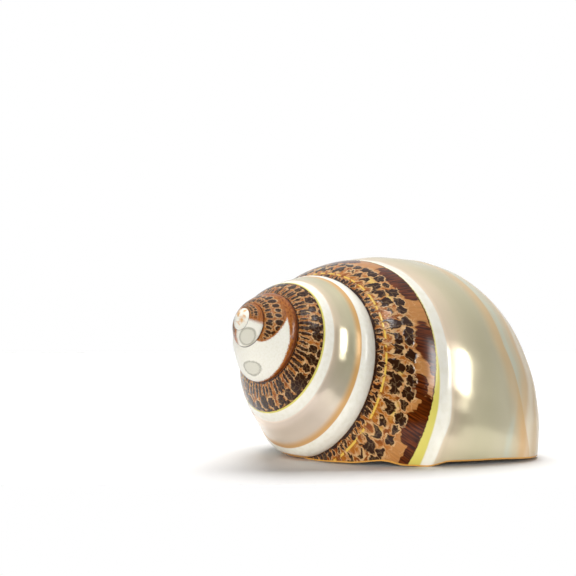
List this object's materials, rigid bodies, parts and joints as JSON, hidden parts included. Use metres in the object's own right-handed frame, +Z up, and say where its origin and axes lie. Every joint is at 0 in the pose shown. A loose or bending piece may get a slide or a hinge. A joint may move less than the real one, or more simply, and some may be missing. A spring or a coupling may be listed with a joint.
{
  "type": "turban shell",
  "caption": "Polished turban snail shell lying on its aperture, with pearl bands ground through its brown outer layer.",
  "frame": {"origin": "on the ground under the middle of the bounding box", "axes": "+Z up, +X the picture's right and the way the body whorl lies, +Y away from the picture's camera; the apex points to -X and -Y"},
  "size_m": [0.056, 0.0416, 0.0363],
  "materials": {
    "polished_shell": "polished"
  },
  "bodies": {
    "root": {"shell": "polished_shell"}
  },
  "joints": []
}
